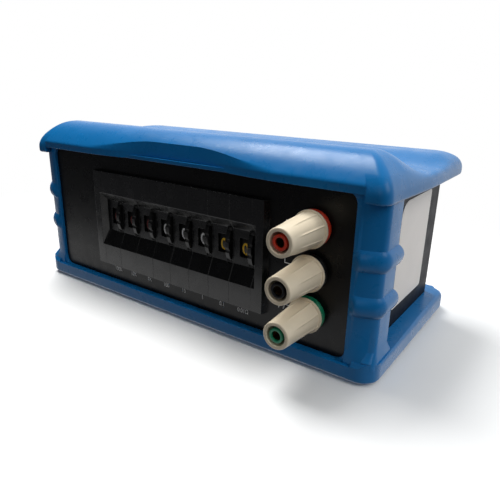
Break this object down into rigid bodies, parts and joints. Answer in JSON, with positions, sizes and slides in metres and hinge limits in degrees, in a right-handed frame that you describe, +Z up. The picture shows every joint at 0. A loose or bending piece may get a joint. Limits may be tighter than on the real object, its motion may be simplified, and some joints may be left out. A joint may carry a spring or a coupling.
{
  "type": "decade resistance box",
  "caption": "Bench decade resistance box: a moulded case with a row of turning thumbwheel switches in its front panel and screw-cap terminals with plug sockets.",
  "frame": {"origin": "middle of the whole outline, at the underside of the feet", "axes": "+X to the right across the front, +Y to the rear, +Z up"},
  "size_m": [0.222, 0.1264, 0.0944],
  "materials": {
    "blue_shell": "moulded, lightly grained",
    "case_black": "fine black paint",
    "panel_black": "satin black paint",
    "bank_black": "satin moulded",
    "wheel_black": "satin moulded",
    "foot_rubber": "matt",
    "label_white": "printed film, blank",
    "steel": "plated",
    "brass": "turned",
    "board_green": "laminate",
    "resistor_cream": "lacquered",
    "wire_red": "insulated",
    "cap_cream": "moulded",
    "post_red": "moulded",
    "post_black": "moulded",
    "post_green": "moulded"
  },
  "bodies": {
    "case": {"top_cover": "blue_shell", "base_cover": "blue_shell", "front_bezel": "blue_shell", "inner_case": "case_black", "front_panel": "panel_black", "rear_panel": "case_black", "case_screws": "steel", "feet": "foot_rubber", "side_label": "label_white", "bank_end_left": "bank_black", "bank_end_right": "bank_black", "tie_rods": "steel", "decade_boards": "board_green", "resistors": "resistor_cream", "detent_springs": "brass", "rear_insulators": "post_black", "solder_tags": "steel", "post_nuts": "steel", "wiring": "wire_red", "housing_1": "bank_black", "housing_2": "bank_black", "housing_3": "bank_black", "housing_4": "bank_black", "housing_5": "bank_black", "housing_6": "bank_black", "housing_7": "bank_black", "housing_8": "bank_black", "red_stud": "brass", "red_collar": "post_red", "red_sleeve": "post_red", "black_stud": "brass", "black_collar": "post_black", "black_sleeve": "post_black", "green_stud": "brass", "green_collar": "post_green", "green_sleeve": "post_green"},
    "decade_1": {"wheel_1": "wheel_black", "wiper_1": "brass"},
    "decade_2": {"wheel_2": "wheel_black", "wiper_2": "brass"},
    "decade_3": {"wheel_3": "wheel_black", "wiper_3": "brass"},
    "decade_4": {"wheel_4": "wheel_black", "wiper_4": "brass"},
    "decade_5": {"wheel_5": "wheel_black", "wiper_5": "brass"},
    "decade_6": {"wheel_6": "wheel_black", "wiper_6": "brass"},
    "decade_7": {"wheel_7": "wheel_black", "wiper_7": "brass"},
    "decade_8": {"wheel_8": "wheel_black", "wiper_8": "brass"},
    "red_clamp": {"red_washer": "brass"},
    "red_screw_cap": {"red_cap": "cap_cream"},
    "black_clamp": {"black_washer": "brass"},
    "black_screw_cap": {"black_cap": "cap_cream"},
    "green_clamp": {"green_washer": "brass"},
    "green_screw_cap": {"green_cap": "cap_cream"}
  },
  "joints": [
    {"name": "decade_1_spin", "type": "hinge", "parent": "case", "child": "decade_1", "pos_m": [-0.0468, -0.02195, 0.046], "axis": [1, 0, 0], "continuous": true},
    {"name": "decade_2_spin", "type": "hinge", "parent": "case", "child": "decade_2", "pos_m": [-0.0341, -0.02195, 0.046], "axis": [1, 0, 0], "continuous": true},
    {"name": "decade_3_spin", "type": "hinge", "parent": "case", "child": "decade_3", "pos_m": [-0.0214, -0.02195, 0.046], "axis": [1, 0, 0], "continuous": true},
    {"name": "decade_4_spin", "type": "hinge", "parent": "case", "child": "decade_4", "pos_m": [-0.0087, -0.02195, 0.046], "axis": [1, 0, 0], "continuous": true},
    {"name": "decade_5_spin", "type": "hinge", "parent": "case", "child": "decade_5", "pos_m": [0.004, -0.02195, 0.046], "axis": [1, 0, 0], "continuous": true},
    {"name": "decade_6_spin", "type": "hinge", "parent": "case", "child": "decade_6", "pos_m": [0.0167, -0.02195, 0.046], "axis": [1, 0, 0], "continuous": true},
    {"name": "decade_7_spin", "type": "hinge", "parent": "case", "child": "decade_7", "pos_m": [0.0294, -0.02195, 0.046], "axis": [1, 0, 0], "continuous": true},
    {"name": "decade_8_spin", "type": "hinge", "parent": "case", "child": "decade_8", "pos_m": [0.0421, -0.02195, 0.046], "axis": [1, 0, 0], "continuous": true},
    {"name": "red_lift", "type": "slide", "parent": "case", "child": "red_clamp", "axis": [0, -1, 0], "range_m": [0, 0.00401]},
    {"name": "red_turn", "type": "hinge", "parent": "red_clamp", "child": "red_screw_cap", "pos_m": [0.07715, -0.05, 0.06265], "axis": [0, -1, 0], "range_deg": [0, 1440]},
    {"name": "black_lift", "type": "slide", "parent": "case", "child": "black_clamp", "axis": [0, -1, 0], "range_m": [0, 0.00401]},
    {"name": "black_turn", "type": "hinge", "parent": "black_clamp", "child": "black_screw_cap", "pos_m": [0.07715, -0.05, 0.0436], "axis": [0, -1, 0], "range_deg": [0, 1440]},
    {"name": "green_lift", "type": "slide", "parent": "case", "child": "green_clamp", "axis": [0, -1, 0], "range_m": [0, 0.00401]},
    {"name": "green_turn", "type": "hinge", "parent": "green_clamp", "child": "green_screw_cap", "pos_m": [0.07715, -0.05, 0.02455], "axis": [0, -1, 0], "range_deg": [0, 1440]}
  ],
  "couplings": [
    {"joint": "red_lift", "follows": "red_turn", "m_per_rad": 0.00015915},
    {"joint": "black_lift", "follows": "black_turn", "m_per_rad": 0.00015915},
    {"joint": "green_lift", "follows": "green_turn", "m_per_rad": 0.00015915}
  ]
}
